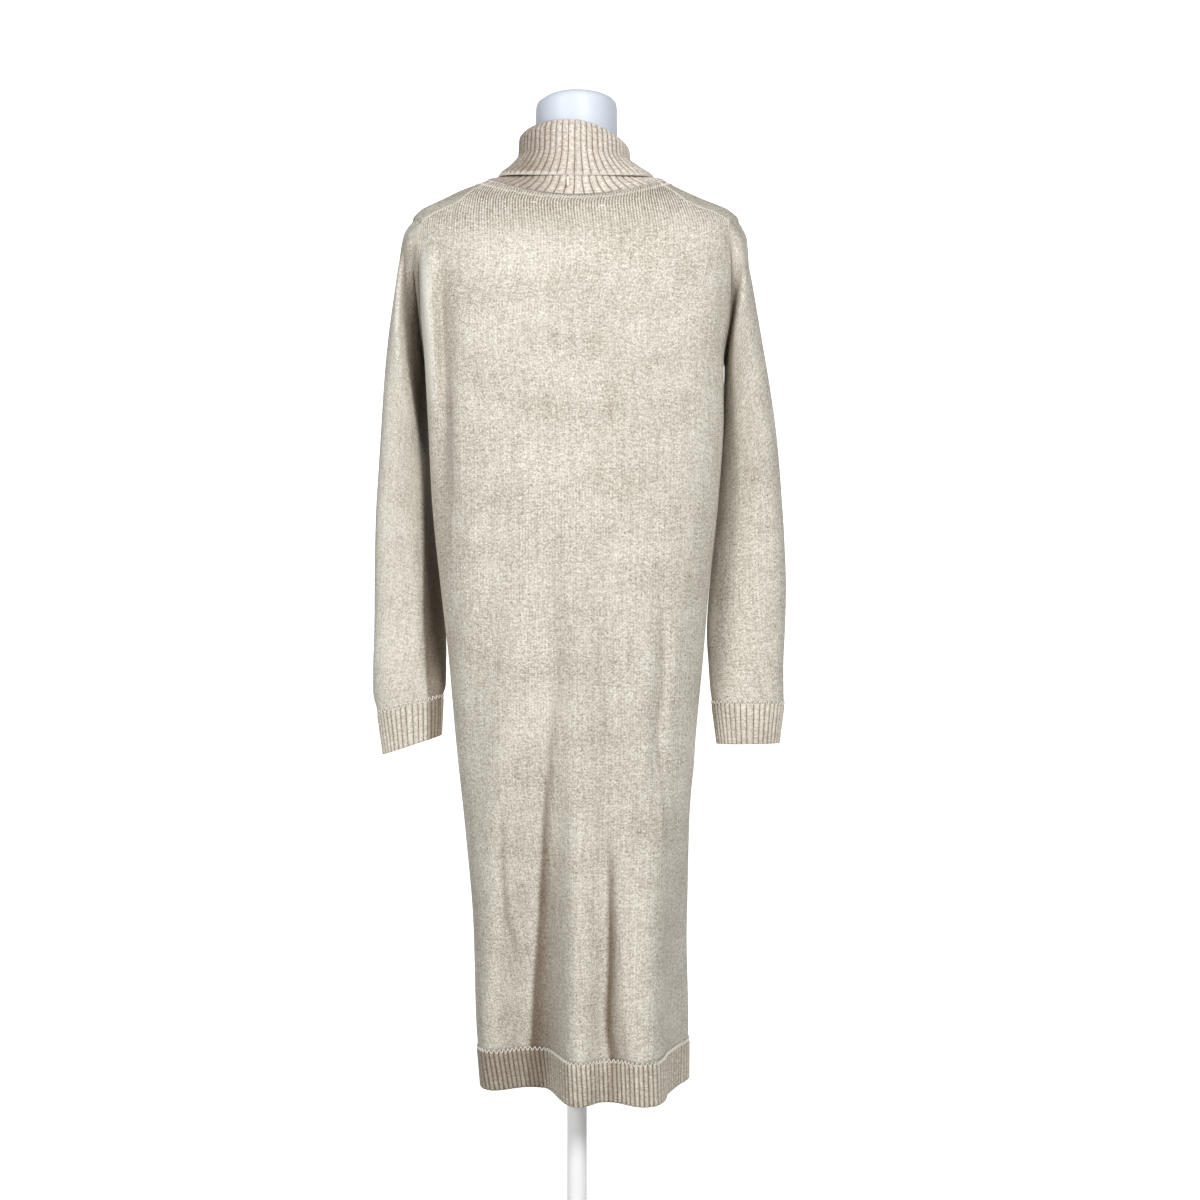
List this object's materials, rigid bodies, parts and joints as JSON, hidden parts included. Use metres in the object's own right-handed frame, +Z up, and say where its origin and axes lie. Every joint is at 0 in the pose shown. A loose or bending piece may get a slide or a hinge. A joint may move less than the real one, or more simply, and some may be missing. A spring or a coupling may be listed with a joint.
{
  "type": "sweater dress on dress form",
  "caption": "Knitted midi sweater dress with a folded ribbed roll neck, long sleeves and ribbed cuffs and hem, worn by a limbless dress form on a pole and round base.",
  "frame": {"origin": "middle of the stand's underside, straight below the pole", "axes": "+Z up along the pole, +X towards the wearer's left, +Y towards the back of the dress, so it faces -Y"},
  "size_m": [0.5134, 0.3, 1.4784],
  "materials": {
    "knit_cloth": "plain knit in a heathered yarn, matt",
    "rib_cloth": "ribbed knit in a heathered yarn, matt",
    "form_shell": "smooth, matt",
    "stand_paint": "smooth paint, slightly glossy"
  },
  "bodies": {
    "root": {"back": "knit_cloth", "front": "knit_cloth", "sleeve_left": "knit_cloth", "sleeve_right": "knit_cloth", "cuff_left": "rib_cloth", "cuff_right": "rib_cloth", "hem_back": "rib_cloth", "hem_front": "rib_cloth", "collar": "rib_cloth", "form_torso": "form_shell", "stand_pole": "stand_paint", "stand_base": "stand_paint"}
  },
  "joints": []
}
